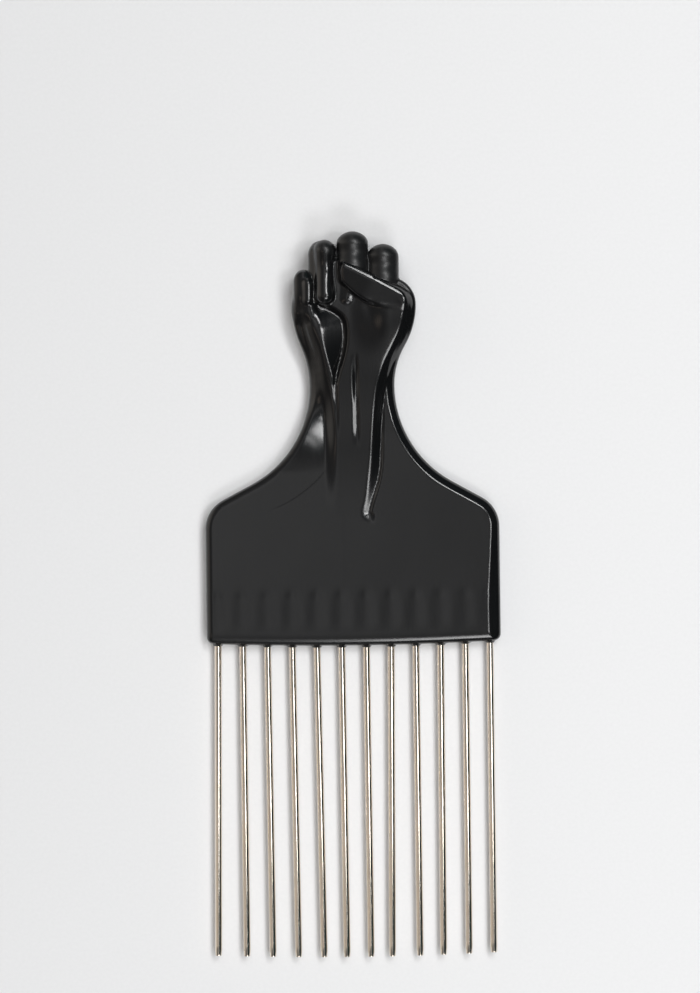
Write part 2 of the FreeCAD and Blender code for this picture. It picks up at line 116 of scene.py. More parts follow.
GRID_X = grid_line([(-35.4, -30.5, FINE), (-30.5, -17.0, COARSE), (-17.0, 17.0, FINE),
                    (17.0, 30.5, COARSE), (30.5, 35.7, FINE)])
GRID_Y = grid_line([(-1.5, 4.5, FINE), (4.5, 26.0, COARSE), (26.0, 56.0, MEDIUM), (56.0, 98.0, FINE)])
GRID_Z = grid_line([(-0.8, 13.2, FINE)])
FLAT_X, FLAT_Y = GRID_X[:, None], GRID_Y[None, :]
print("grid of", len(GRID_X), "x", len(GRID_Y), "x", len(GRID_Z), "places")

# %% [markdown]
# ## The outline
# Seen from the front, the handle is a bar with round shoulders, a straight slope down to the neck and
# a hand that swings out again. What sculpting needs from such a loop is a depth: how far each place of
# the grid lies inside it. The nearest edge gives the distance, and counting the edges that a line to
# the side crosses tells inside from outside.

# %% Depth inside a loop


def loop_depth(points):
    """How deep each place of the flat grid lies inside a closed loop of points, negative outside."""
    points = np.array(points, np.float32)
    nearest = np.full((len(GRID_X), len(GRID_Y)), np.inf, np.float32)
    inside = np.zeros(nearest.shape, bool)
    for (ax, ay), (bx, by) in zip(points, np.roll(points, -1, axis=0)):
        wide, high = bx - ax, by - ay
        t = np.clip(((FLAT_X - ax) * wide + (FLAT_Y - ay) * high) / (wide ** 2 + high ** 2 + 1e-9), 0, 1)
        nearest = np.minimum(nearest, np.hypot(FLAT_X - ax - t * wide, FLAT_Y - ay - t * high))
        if high != 0:
            crosses = (ay > FLAT_Y) != (by > FLAT_Y)
            inside ^= crosses & (FLAT_X < ax + (FLAT_Y - ay) * wide / high)
    return np.where(inside, nearest, -nearest)


ten_square = [(-5, 70), (5, 70), (5, 80), (-5, 80)]
print(f"a square of 10 mm is {loop_depth(ten_square).max():.1f} mm deep in its middle")

# %% [markdown]
# The outline itself is drawn from arcs and lines that run into each other, with the same sizes as the
# solid model. The knuckles get a rough loop of their own, because the fingers cover it later.

# %% Draw the outline
BASE_BOW = 0.8
FOOT_CORNER = 1.6
SIDE_TOP = 27.6
SHOULDER_ROUND = 7.7
SHOULDER_RUN = 8.0
NECK_Y = 60.8
NECK_LEFT, NECK_RIGHT = 9.6, 10.25
PALM_Y = 79.6
PALM_LEFT, PALM_RIGHT = 13.5, 15.45
PALM_CORNER = 6.5
KNUCKLES = [(-8.5, 80), (11.3, 80), (11.0, 87.5), (8.0, 90), (-6.0, 91.5), (-8.5, 88)]
ARC_STEP = math.radians(4)
BASE_POINTS = 32


def arc(centre, radius, start, end):
    """Points along an arc between two angles, in radians."""
    count = max(3, int(abs(end - start) / ARC_STEP) + 1)
    return [(centre[0] + radius * math.cos(a), centre[1] + radius * math.sin(a))
            for a in np.linspace(start, end, count)]


def outline_side(neck, palm):
    """The right half of the outline, from the foot corner up to the hand's corner."""
    foot = arc((HALF_BAR - FOOT_CORNER, BASE_BOW + FOOT_CORNER), FOOT_CORNER, -math.pi / 2, 0)
    across, up = HALF_BAR - neck, NECK_Y - SIDE_TOP
    both_radii = (across ** 2 + up ** 2 - SHOULDER_RUN ** 2) / (2 * across)
    sweep = both_radii - SHOULDER_ROUND
    slope = math.atan2(both_radii - across, up) + math.atan2(SHOULDER_RUN, both_radii)
    top = arc((HALF_BAR - SHOULDER_ROUND, SIDE_TOP), SHOULDER_ROUND, 0, math.pi / 2 - slope)
    hollow = arc((neck + sweep, NECK_Y), sweep, 3 * math.pi / 2 - slope, math.pi)
    flare = ((palm - neck) ** 2 + (PALM_Y - NECK_Y) ** 2) / (4 * (palm - neck))
    swing = math.asin((PALM_Y - NECK_Y) / 2 / flare)
    wrist = arc((neck + flare, NECK_Y), flare, math.pi, math.pi - swing)
    hand = arc((palm - flare, PALM_Y), flare, -swing, 0)
    corner = arc((palm - PALM_CORNER, PALM_Y), PALM_CORNER, 0, math.pi / 2)
    return foot + top + hollow + wrist + hand + corner


base_radius = (HALF_BAR ** 2 + BASE_BOW ** 2) / (2 * BASE_BOW)
base = [(x, base_radius - math.sqrt(base_radius ** 2 - x * x))
        for x in np.linspace(-HALF_BAR + FOOT_CORNER, HALF_BAR - FOOT_CORNER, BASE_POINTS)]
right_side = outline_side(NECK_RIGHT, PALM_RIGHT)
left_side = [(-x, y) for x, y in outline_side(NECK_LEFT, PALM_LEFT)]
outline = base + right_side + left_side[::-1]
EDGE_DEPTH = np.maximum(loop_depth(outline), loop_depth(KNUCKLES))
print(f"outline of {len(outline)} points, widest depth {EDGE_DEPTH.max():.1f} mm")

# %% [markdown]
# ## Soft changes
# A moulded form has no sudden edge. One small function eases a value from 0 to 1. One joins two surfaces
# with a fillet between them and, turned over, gives the higher of two heights. The last draws a smooth
# curve through stops along the hand, so that a height or a width is given only where it matters.

# %% Soft changes


def ease(value, start, end):
    """A smooth step from 0 at start to 1 at end."""
    share = np.clip((value - start) / (end - start), 0, 1)
    return share * share * (3 - 2 * share)


def join(first, second, soft):
    """Union of two fields, with a fillet of about the soft width."""
    near = np.maximum(soft - np.abs(first - second), 0) / soft
    return np.minimum(first, second) - near * near * soft / 4


def soft_max(first, second, soft):
    """The higher of two heights, with a soft change from the one to the other."""
    return -join(-first, -second, soft)


def along(y, stops):
    """A value that changes smoothly along Y through (y, value) stops."""
    places, values = np.array(stops, float).T
    slopes = np.gradient(values, places)
    i = np.clip(np.searchsorted(places, y) - 1, 0, len(places) - 2)
    width = places[i + 1] - places[i]
    t = np.clip((y - places[i]) / width, 0, 1)
    blend = t * t * (3 - 2 * t)
    bow = t * (1 - t) * width * (slopes[i] * (1 - t) - slopes[i + 1] * t)
    return values[i] * (1 - blend) + values[i + 1] * blend + bow


print(f"where two fields meet, a soft join of 1 mm adds {-join(0.0, 0.0, 1.0):.2f} mm")

# %% [markdown]
# ## The arm's relief
# The forearm, the palm and the thumb stand out of the flat bar like a coin's figure, so they are heights
# over the flat grid. One long edge bounds them: from the foot of the channel up over the ball of the
# thumb, and from there back along the thumb to its tip. It is given by a few points, and cutting the
# corners between them three times makes a smooth curve.

# %% Raise the forearm and the palm
RISE = [(31, 0.0), (35, 0.06), (39, 0.22), (44, 0.6), (48, 1.02), (52, 1.42), (56, 1.8), (60, 2.28),
        (64, 2.88), (68, 3.52), (72, 4.1), (76, 4.58), (80, 4.85), (90, 4.7)]
BALL_SWELL = 1.2
BALL_ACROSS, BALL_ALONG = (-1, 10), (62, 79)
ARM_EDGE = [(60, -40), (60, 28.2), (8, 28.2), (4.8, 28.3), (3.0, 28.9), (1.9, 30.2), (2.0, 32.0), (2.8, 34.3),
            (3.45, 39), (4.2, 44.3), (4.9, 53.7), (5.6, 60.7), (7.1, 66), (8.9, 69.4), (11.1, 73.7),
            (12.2, 78.4), (12.5, 80.6), (12.0, 82.4), (7.7, 84.8), (3.5, 87.0), (0.1, 88.7), (-1.5, 89.3),
            (-4.0, 89.8), (-60, 98), (-60, -40)]


def smooth_path(points, closed=False):
    """A path with its corners cut three times, which leaves a smooth curve near the points."""
    points = np.array(points, float)
    for _ in range(3):
        after = np.roll(points, -1, axis=0) if closed else points[1:]
        before = points if closed else points[:-1]
        both = np.stack([0.75 * before + 0.25 * after, 0.25 * before + 0.75 * after], axis=1).reshape(-1, 2)
        points = both if closed else np.concatenate([points[:1], both, points[-1:]])
    return points


rise = along(FLAT_Y, RISE) + BALL_SWELL * ease(FLAT_X, *BALL_ACROSS) * ease(FLAT_Y, *BALL_ALONG)
off_edge = -loop_depth(smooth_path(ARM_EDGE, closed=True))
print(f"forearm and palm stand up to {rise.max():.2f} mm proud")

# %% [markdown]
# The thumb lies across the folded fingers. Its front is a flat facet that falls away from a ridge, and
# its lower edge rolls into the palm. A narrow strip along the upper edge leans outwards like a roof:
# that strip is the bright line of the thumb.

# %% Lay the thumb across
THUMB_EDGE = [(-0.6, 91.0), (-2.0, 89.6), (-2.7, 88.0), (-2.7, 86.4), (-2.4, 84.9), (-1.6, 83.9), (1.3, 81.3),
              (4.8, 79.4), (8.5, 78.6), (11.0, 78.0), (20, 77.0), (20, 92)]
RIDGE_START, RIDGE_END = (0.0, 87.9), (11.6, 81.9)
THUMB_TOP = 12.3 - FACE
THUMB_FALL = 0.19
THUMB_SINK, THUMB_SINK_ALONG = 0.5, (5, 14)
THUMB_ROUND = 1.0
THUMB_ROUNDER, THUMB_ROUNDER_ACROSS = 1.5, (6, 13)  # towards the thumb's root
THUMB_SOFT = 0.3
ROOF_WIDTH, ROOF_FALL = 0.75, 0.22
ROOF_ACROSS, ROOF_ALONG = (-2.0, -0.5), (79.5, 82.5)


def shoulder(depth, width):
    """The rounded edge of a raised form: 0 at its foot and 1 from a given depth inside it."""
    return np.sin(np.clip(depth / width, 0, 1) * math.pi / 2)


in_thumb = loop_depth(smooth_path(THUMB_EDGE, closed=True))
ridge_x, ridge_y = np.subtract(RIDGE_END, RIDGE_START) / math.dist(RIDGE_START, RIDGE_END)
below_ridge = (FLAT_X - RIDGE_START[0]) * ridge_y - (FLAT_Y - RIDGE_START[1]) * ridge_x
along_ridge = (FLAT_X - RIDGE_START[0]) * ridge_x + (FLAT_Y - RIDGE_START[1]) * ridge_y
thumb = THUMB_TOP - THUMB_FALL * np.maximum(below_ridge, 0)
thumb = thumb - THUMB_SINK * ease(along_ridge, *THUMB_SINK_ALONG)
thumb_round = THUMB_ROUND + THUMB_ROUNDER * ease(FLAT_X, *THUMB_ROUNDER_ACROSS)
rise = rise + soft_max(thumb - rise, 0, THUMB_SOFT) * shoulder(in_thumb, thumb_round)
roof_share = ease(FLAT_Y, *ROOF_ALONG) * ease(FLAT_X, *ROOF_ACROSS)
rise = rise - ROOF_FALL * np.clip(off_edge + ROOF_WIDTH, 0, ROOF_WIDTH) * roof_share
print(f"thumb stands up to {rise.max():.2f} mm proud")

# %% [markdown]
# Beyond the long edge the surface slopes down to a floor, and a low wall brings it back to the level of
# the bar or of the hand's back. Low down that makes the channel, higher up the dark flank of the hand.
# At the channel's foot the floor comes up on the right, which leaves a small scoop.

# %% Slope the flank
HAND_LEVEL = [(50, 0.0), (54, 0.15), (58, 0.5), (62, 1.1), (66, 1.9), (70, 2.8), (74, 3.7), (78, 4.4),
              (82, 4.5), (98, 3.0)]
FLANK_WIDTH = [(28, 1.4), (30, 2.2), (33.7, 2.3), (39, 3.0), (47, 2.8), (53.6, 2.5), (60, 2.5), (78, 2.5),
               (81, 2.2), (84, 1.0), (98, 1.0)]
FLANK_SINK = [(27, 0.36), (31, 0.38), (34, 0.42), (38, 0.62), (44, 0.6), (52, 0.4), (58, 0.15), (64, 0.0),
              (98, 0.0)]
SCOOP_ACROSS, SCOOP_ALONG = (4.1, 5.3), (30, 35)
LIP = 1.0
WALL = 0.4

hand_level = along(FLAT_Y, HAND_LEVEL)
flank_width = along(FLAT_Y, FLANK_WIDTH)
lip_eased = np.where(off_edge < LIP, off_edge ** 2 / (2 * LIP), off_edge - LIP / 2)
flank_share = np.where(off_edge > 0, np.clip(lip_eased / (flank_width - LIP / 2), 0, 1), 0)
scoop_end = ease(FLAT_X, *SCOOP_ACROSS) * (1 - ease(FLAT_Y, *SCOOP_ALONG))
flank_sink = along(FLAT_Y, FLANK_SINK) * (1 - scoop_end)
flank = rise + (hand_level - flank_sink - rise) * flank_share
past_flank = ease(off_edge, flank_width - WALL / 2, flank_width + WALL / 2)
relief = flank * (1 - past_flank) + hand_level * past_flank
print(f"channel {-relief.min():.2f} mm deep")

# %% [markdown]
# On the left the forearm ends in a low step. The plate beside it leans towards that step and catches
# the light; higher up it grows into the heel of the hand, whose shoulder follows the outline.

# %% Shape the left side
LEFT_X = -2  # only what lies to the left of this changes here
LEFT_SHARE = 0.6
STEP_EDGE = [(30, -6.4), (56, -6.6), (64, -7.6), (98, -9.0)]
STEP_WIDTH = 2.8
LEFT_RISE = [(50, 0.0), (53, 0.1), (56, 0.55), (60, 1.6), (64, 2.6), (68, 3.4), (72, 4.0), (76, 4.4),
             (80, 4.7), (98, 4.4)]
LEFT_SHOULDER = [(30, 3.0), (54, 3.4), (60, 4.0), (66, 4.4), (80, 4.2), (98, 3.4)]
SHOULDER_START = 0.3
PLATE_REACH = 8.0
PLATE_LEAN = [(41, 0.0), (45, 0.08), (48, 0.16), (50, 0.19), (52, 0.18), (55, 0.1), (58, 0.03), (61, 0.0),
              (98, 0.0)]
CRISP, HEEL_SOFT, HEEL_SOFT_ALONG = 0.01, 0.8, (56, 64)


def beyond(stops):
    """How far each place of the flat grid lies to the right of an edge given as (y, x) stops."""
    lean = np.gradient(along(GRID_Y, stops), GRID_Y)
    return (FLAT_X - along(FLAT_Y, stops)) / np.sqrt(1 + lean ** 2)[None, :]


off_step = -beyond(STEP_EDGE)
heel = along(FLAT_Y, LEFT_RISE) * shoulder(EDGE_DEPTH - SHOULDER_START, along(FLAT_Y, LEFT_SHOULDER))
plate = along(FLAT_Y, PLATE_LEAN) * PLATE_REACH * np.tanh(np.maximum(off_step, 0) / PLATE_REACH)
past_step = ease(off_step, -STEP_WIDTH, 0)
left_height = relief * (1 - past_step) + (heel + plate) * past_step
heel_blend = CRISP + HEEL_SOFT * ease(FLAT_Y, *HEEL_SOFT_ALONG)
left_relief = soft_max(left_height, hand_level * LEFT_SHARE, heel_blend)
relief = np.where(FLAT_X < LEFT_X, left_relief, relief)
print(f"plate beside the step rises to {plate.max():.2f} mm")

# %% [markdown]
# ## The hollow of the palm
# The palm is hollow between two lines: the heel of the hand, and the foot of the ball of the thumb. A
# path of points gives each line. What the hollow needs of them is the distance to both at every place.

# %% Distance to a path


def path_distance(points):
    """Distance on the flat grid from a path of points, and how far along the path, from 0 to 1."""
    points = np.array(points, np.float32)
    spans = np.hypot(*np.diff(points, axis=0).T)
    starts = np.concatenate([[0], np.cumsum(spans)]) / spans.sum()
    nearest = np.full((len(GRID_X), len(GRID_Y)), np.inf, np.float32)
    share = np.zeros_like(nearest)
    for i, ((ax, ay), (bx, by)) in enumerate(zip(points, points[1:])):
        wide, high = bx - ax, by - ay
        t = np.clip(((FLAT_X - ax) * wide + (FLAT_Y - ay) * high) / spans[i] ** 2, 0, 1)
        reach = np.hypot(FLAT_X - ax - t * wide, FLAT_Y - ay - t * high)
        closer = reach < nearest
        nearest = np.where(closer, reach, nearest)
        share = np.where(closer, starts[i] + t * (starts[i + 1] - starts[i]), share)
    return nearest, share


HEEL_SIDE = smooth_path([(-9.4, 79.9), (-7.3, 74.6), (-6.0, 69.3), (-4.5, 64.6), (-3.4, 60.4)])
BALL_SIDE = smooth_path([(-3.3, 60.4), (-2.4, 63.5), (-0.8, 68.5), (-0.3, 73.0), (-0.9, 76.9), (-3.2, 78.8),
                         (-6.5, 80.2)])

heel_reach, heel_share = path_distance(HEEL_SIDE)
ball_reach, _ = path_distance(BALL_SIDE)
in_hollow = loop_depth(np.concatenate([HEEL_SIDE, BALL_SIDE]))
print(f"the hollow is {2 * in_hollow.max():.1f} mm across at its widest")

# %% [markdown]
# The hollow falls away slowly from the heel and ends in a steep wall under the ball of the thumb, so its
# depth is the share of the way from the one side to the other. A narrow strip beside the heel falls more
# gently, and shines as the crease.

# %% Sink the palm
HOLLOW_SINK = 2.185
HOLLOW_WALL = 1.0
CREASE_WIDTH, CREASE_FALL = 0.75, 0.21
CREASE_TAPER = (0.15, 0.6)  # shares of the heel's side between which the crease narrows to nothing
TINY = 0.01  # keeps the share defined where the two sides meet

crease = CREASE_WIDTH * (1 - ease(heel_share, *CREASE_TAPER))
past_crease = np.maximum(heel_reach - crease, 0)
fall = past_crease / (past_crease + ball_reach + TINY)
sink = HOLLOW_SINK * fall * ease(ball_reach, 0, HOLLOW_WALL)
sink = sink + CREASE_FALL * np.minimum(heel_reach, crease)
sink = np.where(in_hollow > 0, sink, 0)
relief = relief - sink
print(f"palm sunk {sink.max():.2f} mm")

# %% [markdown]
# Two softer forms finish the palm: the heel dips under the tip of the little finger, and a faint crease
# runs down from the root of the thumb. Both are bell-shaped dips, which have no edge at all.

# %% Dip the heel and crease the ball of the thumb
HEEL_DIP, HEEL_DIP_X, HEEL_DIP_WIDTH = 0.6, -8, 2.5
HEEL_DIP_ALONG = (74, 80)
THUMB_CREASE = [(4.7, 79.2), (5.2, 77.0), (6.0, 74.5), (6.8, 71.5)]
THUMB_CREASE_DEPTH, THUMB_CREASE_WIDTH = 0.17, 1.5

heel_bell = np.exp(-((FLAT_X - HEEL_DIP_X) / HEEL_DIP_WIDTH) ** 2)
relief = relief - HEEL_DIP * ease(FLAT_Y, *HEEL_DIP_ALONG) * heel_bell
crease_reach, crease_share = path_distance(THUMB_CREASE)
crease_bell = np.exp(-(crease_reach / THUMB_CREASE_WIDTH) ** 2)
relief = relief - THUMB_CREASE_DEPTH * crease_bell * (1 - crease_share)
print(f"heel dips {HEEL_DIP} mm, crease {THUMB_CREASE_DEPTH} mm deep")

# %% [markdown]
# The cords of the wrist leave two grooves. Each falls slowly from its left and ends in a short wall,
# and gets shallower to its foot, where it catches the light.

# %% Groove the wrist
GROOVES = [
    # middle as (y, x) stops, then depth as (y, depth) stops
    ([(48, -3.2), (56, -3.3), (62, -3.4)],
     [(49, 0.0), (53, 0.1), (57, 0.18), (58, 0.23), (60, 0.25), (61.5, 0.3), (62.5, 0.0)]),
    ([(46, 1.5), (52, 1.5), (68, 1.3)],
     [(46.5, 0.0), (48.5, 0.08), (50.5, 0.2), (53, 0.23), (57, 0.25), (59, 0.42), (62, 0.5), (66, 0.2),
      (68.5, 0.0)]),
]
GROOVE_WIDTH = 1.1
GROOVE_WALL = 0.35

for middle, depth in GROOVES:
    off = beyond(middle)
    notch = np.minimum(np.clip(1 + off / GROOVE_WIDTH, 0, 1), np.clip(1 - off / GROOVE_WALL, 0, 1))
    relief = relief - np.maximum(along(FLAT_Y, depth), 0) * notch
print(f"{len(GROOVES)} grooves, relief from {relief.min():.2f} to {relief.max():.2f} mm")

# %% [markdown]
# ## Sink marks
# Plastic shrinks where it is thick or wraps metal, so the face of the bar dips a few hundredths of a
# millimetre over every buried root, and has a small dimple over each root's end. A cosine with the
# teeth's own pitch makes the whole row of dips at once.

# %% Dip the face over the roots
TOOTH_MARGIN = 2.55
TOOTH_PITCH = (2 * HALF_BAR - 2 * TOOTH_MARGIN) / (len(tooth_names) - 1)
ROOT_LENGTH = 12.0
SINK_DEPTH = 0.045
SINK_START, SINK_END = (2.5, 6), (ROOT_LENGTH - 3, ROOT_LENGTH + 1)
DIMPLE_DEPTH = 0.05
DIMPLE_RADIUS = 1.1

tooth_places = [(i - (len(tooth_names) - 1) / 2) * TOOTH_PITCH for i in range(len(tooth_names))]
over_roots = ease(FLAT_Y, *SINK_START) * (1 - ease(FLAT_Y, *SINK_END))
row_of_dips = 0.5 + 0.5 * np.cos(2 * math.pi * (FLAT_X - tooth_places[0]) / TOOTH_PITCH)
relief = relief - SINK_DEPTH * over_roots * row_of_dips
for place in tooth_places:
    reach = np.hypot(FLAT_X - place, FLAT_Y - ROOT_LENGTH)
    relief = relief - DIMPLE_DEPTH * np.exp(-(reach / DIMPLE_RADIUS) ** 2)
print(f"sink marks over {len(tooth_places)} roots, {TOOTH_PITCH:.2f} mm apart")

# %% [markdown]
# ## Bevelled edges
# The front edge of the bar is bevelled, wider on the right than on the left and widest at the right foot.
# The toothed edge is different: it rolls over in a curve. Each bevel is a loss of height near an edge,
# so it is taken off before the solid is filled.

# %% Bevel the front
BEVEL_LEFT, BEVEL_RIGHT = (1.2, 0.45), (1.9, 0.55)  # width and slope
BEVEL_ACROSS, BEVEL_END = (-20, 20), (62, 74)
BEVEL_WIDER, BEVEL_GENTLER = 0.9, 0.13  # at the right foot
FOOT_ACROSS, FOOT_ALONG = (24, 32), (8, 30)
FOOT_WIDTH, FOOT_CURVE, FOOT_SOFT = 2.9, 0.13, 0.1
FOOT_END = (3, 5)
BELOW = -20  # far under the toothed edge, which so counts as no side

corner_top = BASE_BOW + FOOT_CORNER
above_corner = [point for point in right_side + left_side[::-1] if point[1] > corner_top]
side_depth = loop_depth([(-HALF_BAR, BELOW), (HALF_BAR, BELOW)] + above_corner)
rightness = ease(FLAT_X, *BEVEL_ACROSS)
at_foot = ease(FLAT_X, *FOOT_ACROSS) * (1 - ease(FLAT_Y, *FOOT_ALONG))
bevel_width = BEVEL_LEFT[0] + (BEVEL_RIGHT[0] - BEVEL_LEFT[0]) * rightness + BEVEL_WIDER * at_foot
bevel_slope = BEVEL_LEFT[1] + (BEVEL_RIGHT[1] - BEVEL_LEFT[1]) * rightness - BEVEL_GENTLER * at_foot
bevel = bevel_slope * np.maximum(bevel_width - side_depth, 0) * (1 - ease(FLAT_Y, *BEVEL_END))
above_foot = FLAT_Y - (base_radius - np.sqrt(base_radius ** 2 - FLAT_X ** 2))
foot_bevel = FOOT_CURVE / 2 * np.maximum(FOOT_WIDTH - above_foot, 0) ** 2
bevel = bevel + (soft_max(foot_bevel, bevel, FOOT_SOFT) - bevel) * (1 - ease(FLAT_Y, *FOOT_END))
height = (FACE + relief - bevel).astype(np.float32)
print(f"front up to {height.max():.2f} mm high")

# %% [markdown]
# ## From heights to a solid
# The height gives the front, the outline gives the side walls and the back is flat. The front's
# distance is divided by its steepness, so that it stays a true distance on slopes. Where two walls
# meet, the corner is rounded, as the edge of a mould is.

# %% Fill the solid
EDGE_ROUND = 0.8
BACK_ROUND = 1.4


def rounded_corner(first, second, radius):
    """The solid inside two walls, with the corner between them rounded."""
    first, second = first + radius, second + radius
    outside = np.hypot(np.maximum(first, 0), np.maximum(second, 0))
    return outside + np.minimum(np.maximum(first, second), 0) - radius


slope_x = np.gradient(height, GRID_X, axis=0)
slope_y = np.gradient(height, GRID_Y, axis=1)
steepness = np.sqrt(1 + slope_x ** 2 + slope_y ** 2)
side = -EDGE_DEPTH[:, :, None]
front = (GRID_Z[None, None, :] - height[:, :, None]) / steepness[:, :, None]
back = np.broadcast_to(-GRID_Z[None, None, :], front.shape)
field = np.maximum(rounded_corner(side, front, EDGE_ROUND),
                   rounded_corner(side, back, BACK_ROUND)).astype(np.float32)
print("plate and relief filled,", int((field < 0).sum()), "places inside")

# %% [markdown]
# ## Fingers
# A finger is too deep and too round for a height, so it is a form of its own that is joined to the field.
# Only the box round the form is worked on, which keeps this quick. Towards the palm a finger melts in
# with a wider fillet.

# %% Join a form to the field
MELT_ALONG = (77, 83)
FIST_LOW, FIST_HIGH = (-17, 76, 0), (17, 98, 13)


def part_of_grid(low, high):
    """The slices of the grid inside a box, and its places along X, Y and Z."""
    slices = tuple(slice(*np.searchsorted(line, (low[i], high[i])))
                   for i, line in enumerate((GRID_X, GRID_Y, GRID_Z)))
    x = GRID_X[slices[0]][:, None, None]
    y = GRID_Y[slices[1]][None, :, None]
    z = GRID_Z[slices[2]][None, None, :]
    return slices, x, y, z


def add(form, low, high, soft, melt=0.0):
    """Join a form, a function of x, y and z, to the field in a box. It melts in at its low end."""
    slices, x, y, z = part_of_grid(low, high)
    width = soft + melt * (1 - ease(y, *MELT_ALONG))
    field[slices] = join(field[slices], form(x, y, z).astype(np.float32), width)


fist_places = field[part_of_grid(FIST_LOW, FIST_HIGH)[0]].shape
print("the fist has", " x ".join(str(count) for count in fist_places), "places of the grid")

# %% [markdown]
# The back of a finger is a round bar that swells at the joints and has a waist between them: the waists
# are what the light picks out. A few balls give the bar's height and thickness, and it runs smoothly
# through them.

# %% Round bars


def bar_form(balls):
    """A round bar along Y at x = 0, through balls given as (y, height of their top, radius)."""
    places, tops, radii = np.array(balls[::-1]).T

    def form(x, y, z):
        at = np.clip(y, places[0], places[-1])
        radius = np.interp(at, places, radii)
        middle_z = along(at, np.stack([places, tops], axis=1)) - radius
        return np.sqrt(x ** 2 + (y - at) ** 2 + (z - middle_z) ** 2) - radius
    return form


straight_bar = bar_form([(90.0, 10.0, 2.0), (80.0, 10.0, 2.0)])
print(f"2 mm over a bar the field is {straight_bar(0.0, 85.0, 12.0):.2f} mm")

# %% [markdown]
# From the front a finger is an oval-ended column that reaches the back of the hand. A cap closes it: the
# bar, made wider and flatter, with the bar itself along its top.

# %% Grow the fingers
FINGERS = {
    # middle across, half width, top in y, length of the oval top,
    # then balls as (y, height of their top, radius), tip last
    "little_back": (-10.7, 2.35, 88.2, 3.2, [(85.6, 9.2, 2.4), (82.0, 9.2, 2.4), (78.5, 8.5, 2.4)]),
    "ring_back": (-6.1, 3.5, 95.3, 4.2, [(91.4, 9.4, 3.2), (82.0, 9.2, 3.0)]),
    "middle": (0.8, 3.75, 97.1, 3.1,
               [(93.9, 11.3, 2.6), (92.0, 10.78, 2.6), (89.4, 11.3, 2.6), (84.0, 10.2, 2.6)]),
    "index": (7.9, 3.75, 94.1, 3.6,
              [(90.9, 10.9, 2.6), (89.0, 10.4, 2.6), (86.5, 10.9, 2.6), (82.0, 9.8, 2.6)]),
}
CAP_DROP, CAP_FLAT, CAP_SOFT = 0.3, 0.62, 1.3
COLUMN_END = 3
FINGER_EDGE, FINGER_BACK = 0.6, 1.0
FINGER_SOFT, FINGER_MELT = 0.3, 1.6
ROOM_BESIDE, ROOM_BELOW = 2, 4
BOX_BACK, BOX_FRONT = -1, 14


def finger_form(middle, half_width, top_y, dome, balls):
    """An oval-ended column under a flattened cap, with a round bar along the top of the cap."""
    bar = bar_form(balls)
    low = min(top - radius for _, top, radius in balls)
    end_y = balls[-1][0] - COLUMN_END

    def form(x, y, z):
        wide = (x - middle) * dome / half_width
        past_end = np.maximum(np.maximum(y - (top_y - dome), end_y + dome - y), 0)
        side_wall = np.hypot(wide, past_end) - dome
        high = np.maximum(z, low)
        flat_cap = bar((x - middle) * CAP_FLAT, y, high + CAP_DROP)
        cap = join(flat_cap, bar(x - middle, y, high), CAP_SOFT)
        front_edge = rounded_corner(side_wall + z * 0, cap, FINGER_EDGE)
        return np.maximum(front_edge, rounded_corner(side_wall, -z, FINGER_BACK))
    return form


for middle, half_width, top_y, dome, balls in FINGERS.values():
    reach = half_width + ROOM_BESIDE
    box_low = (middle - reach, balls[-1][0] - ROOM_BELOW, BOX_BACK)
    box_high = (middle + reach, top_y + ROOM_BESIDE, BOX_FRONT)
    add(finger_form(middle, half_width, top_y, dome, balls), box_low, box_high, FINGER_SOFT, FINGER_MELT)
print("fingers:", ", ".join(FINGERS))

# %% [markdown]
# The little and the ring finger are folded right over, so a second, narrower length of finger lies on top
# of each. Only its round top shows, and a bar alone gives that.

# %% Fold the little and the ring finger over
FOLDED = {
    # middle across, then balls as (y, height of their top, radius), tip last
    "little": (-9.75, [(84.7, 10.1, 1.35), (80.9, 9.95, 1.35)]),
    "ring": (-5.7, [(92.3, 11.4, 2.55), (88.2, 10.6, 2.4), (81.9, 11.45, 2.45)]),
}
FOLD_LOW, FOLD_HIGH = (-5, 75, 4), (5, 98, 14)  # box of a folded part, X from its middle

for middle, balls in FOLDED.values():
    bar = bar_form(balls)
    add(lambda x, y, z: bar(x - middle, y, z), np.add(FOLD_LOW, (middle, 0, 0)),
        np.add(FOLD_HIGH, (middle, 0, 0)), FINGER_SOFT)
print("folded over:", ", ".join(FOLDED))

# %% [markdown]
# ## The middle finger's tip
# Below the thumb the tip of the middle finger just shows. Two balls and the cone that wraps them are
# enough for it, because the thumb hides the rest.

# %% The middle finger's tip
TIP_PAD = (-0.6, 81.1, 8.58, 1.58)  # x, y, z and radius
TIP_BACK = (-0.2, 83.8, 8.3, 1.9)
PAD_LOW, PAD_HIGH = (-4, 78, 4), (4, 88, 12)
PAD_SOFT = 0.7


def taper(x, y, z, start, end):
    """Distance to two balls (x, y, z, radius) and the cone that wraps both."""
    a, b = np.array(start[:3]), np.array(end[:3])
    run = b - a
    length2 = float(run @ run)
    shrink = start[3] - end[3]
    level2 = length2 - shrink ** 2
    px, py, pz = x - a[0], y - a[1], z - a[2]
    climb = px * run[0] + py * run[1] + pz * run[2]
    past = climb - length2
    off2 = ((px * length2 - run[0] * climb) ** 2 + (py * length2 - run[1] * climb) ** 2
            + (pz * length2 - run[2] * climb) ** 2)
    climb2, past2 = climb * climb * length2, past * past * length2
    lean = np.sign(shrink) * shrink * shrink * off2
    far = np.sqrt(off2 + past2) / length2 - end[3]
    near = np.sqrt(off2 + climb2) / length2 - start[3]
    between = (np.sqrt(off2 * level2 / length2) + climb * shrink) / length2 - start[3]
    return np.where(np.sign(past) * level2 * past2 > lean, far,
                    np.where(np.sign(climb) * level2 * climb2 < lean, near, between))


